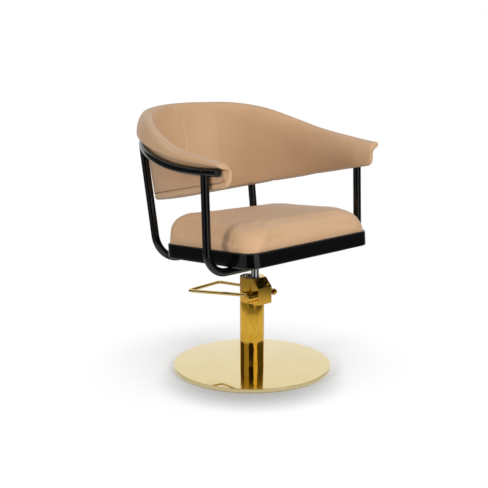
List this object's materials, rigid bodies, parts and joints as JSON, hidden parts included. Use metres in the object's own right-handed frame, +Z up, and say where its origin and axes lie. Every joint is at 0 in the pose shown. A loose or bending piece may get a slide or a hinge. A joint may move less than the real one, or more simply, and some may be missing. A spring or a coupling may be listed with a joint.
{
  "type": "hairdressing chair",
  "caption": "Salon chair with a round pedestal, foot-pumped lift, swivelling cushioned seat in a tube frame and one upholstered shell that is both back and arms",
  "frame": {"origin": "on the floor, on the axis of the round column", "axes": "+Z up; the sitter faces -Y; +X is the sitter's left side"},
  "size_m": [0.686, 0.7207, 0.8467],
  "materials": {
    "mirror_gold": "mirror polished gold plate",
    "gloss_black": "gloss black powder coat",
    "leather": "smooth tan upholstery leather",
    "chrome": "ground and chromed",
    "steel": "machined",
    "rubber": "matte",
    "bronze": "sintered bronze bearing",
    "plywood": "bare plywood"
  },
  "bodies": {
    "base": {"base_disc": "mirror_gold", "base_foot_1": "rubber", "base_foot_2": "rubber", "base_foot_3": "rubber", "base_bolt_1": "steel", "base_bolt_2": "steel", "base_bolt_3": "steel", "column_flange": "steel", "column_tube": "mirror_gold", "column_cap": "mirror_gold", "pump_head": "mirror_gold", "pump_cylinder": "steel", "rod_gland": "rubber"},
    "lift": {"piston_rod": "chrome", "rod_piston": "steel", "thrust_washer": "bronze", "swivel_bush": "bronze"},
    "seat": {"seat_hub": "steel", "hub_plate": "steel", "hub_bolt_1": "steel", "hub_bolt_2": "steel", "hub_bolt_3": "steel", "hub_bolt_4": "steel", "seat_bar_1": "gloss_black", "seat_bar_2": "gloss_black", "front_hoop": "gloss_black", "rear_hoop": "gloss_black", "hoop_saddle_1": "gloss_black", "hoop_saddle_2": "gloss_black", "tray_screw_1": "steel", "tray_screw_2": "steel", "seat_tray": "gloss_black", "seat_board": "plywood", "seat_cushion": "leather", "back_rail": "gloss_black", "rail_plug_1": "gloss_black", "rail_plug_2": "gloss_black", "shell_screw_1": "steel", "shell_screw_2": "steel", "shell_screw_3": "steel", "shell_screw_4": "steel", "shell_screw_5": "steel", "shell_core": "plywood", "shell_panel": "leather", "shell_pad": "leather"},
    "pedal": {"pedal_axle": "steel", "pump_cam": "steel", "pedal_collar": "mirror_gold", "collar_screw": "steel", "pedal_knob": "mirror_gold", "pedal_loop": "mirror_gold"},
    "plunger": {"pump_plunger": "steel"}
  },
  "joints": [
    {"name": "seat_lift", "type": "slide", "parent": "base", "child": "lift", "axis": [0, 0, 1], "range_m": [-0.025, 0.125]},
    {"name": "seat_swivel", "type": "hinge", "parent": "lift", "child": "seat", "pos_m": [0, -0.0139, 0.36], "axis": [0, 0, 1], "continuous": true},
    {"name": "pedal_press", "type": "hinge", "parent": "base", "child": "pedal", "pos_m": [0, -0.046, 0.259], "axis": [1, 0, 0], "range_deg": [-25, 0], "stiffness_Nm_per_rad": 6, "springref_deg": 22.92},
    {"name": "plunger_slide", "type": "slide", "parent": "base", "child": "plunger", "axis": [0, 0, 1], "range_m": [0, 0.0045]}
  ],
  "couplings": [
    {"joint": "plunger_slide", "follows": "pedal_press", "m_per_rad": -0.0095}
  ]
}
